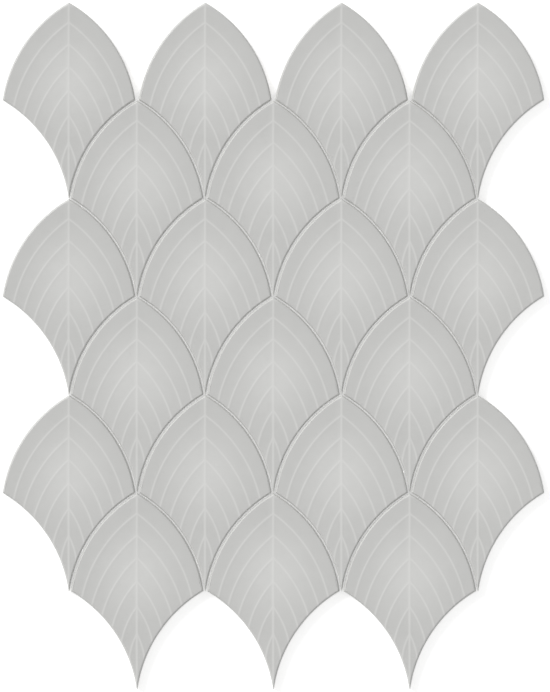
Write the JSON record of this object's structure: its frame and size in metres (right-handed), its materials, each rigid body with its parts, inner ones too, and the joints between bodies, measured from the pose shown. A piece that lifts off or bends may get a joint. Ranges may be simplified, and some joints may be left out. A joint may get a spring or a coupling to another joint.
{
  "type": "fish scale mosaic tile sheet",
  "caption": "Mosaic sheet of pointed fish scale ceramic tiles with raised leaf veins, in staggered interlocking rows, bonded to an open glass-fibre mesh for laying on walls and floors.",
  "frame": {"origin": "on the bedding plane under the mesh, below the middle of the sheet's box", "axes": "+X along a row, +Y up the sheet towards the points of the scales, +Z out of the faces"},
  "size_m": [0.2538, 0.321, 0.0064],
  "materials": {
    "satin_glazed_ceramic": "satin pale grey glaze on a white pressed body",
    "glass_fibre_yarn": "translucent glass-fibre yarn, woven open and set in clear resin"
  },
  "bodies": {
    "root": {"scale_tile_1a": "satin_glazed_ceramic", "scale_tile_1b": "satin_glazed_ceramic", "scale_tile_1c": "satin_glazed_ceramic", "scale_tile_1d": "satin_glazed_ceramic", "scale_tile_2a": "satin_glazed_ceramic", "scale_tile_2b": "satin_glazed_ceramic", "scale_tile_2c": "satin_glazed_ceramic", "scale_tile_3a": "satin_glazed_ceramic", "scale_tile_3b": "satin_glazed_ceramic", "scale_tile_3c": "satin_glazed_ceramic", "scale_tile_3d": "satin_glazed_ceramic", "scale_tile_4a": "satin_glazed_ceramic", "scale_tile_4b": "satin_glazed_ceramic", "scale_tile_4c": "satin_glazed_ceramic", "scale_tile_5a": "satin_glazed_ceramic", "scale_tile_5b": "satin_glazed_ceramic", "scale_tile_5c": "satin_glazed_ceramic", "scale_tile_5d": "satin_glazed_ceramic", "scale_tile_6a": "satin_glazed_ceramic", "scale_tile_6b": "satin_glazed_ceramic", "scale_tile_6c": "satin_glazed_ceramic", "mesh_warp_yarns": "glass_fibre_yarn", "mesh_weft_yarns": "glass_fibre_yarn"}
  },
  "joints": []
}
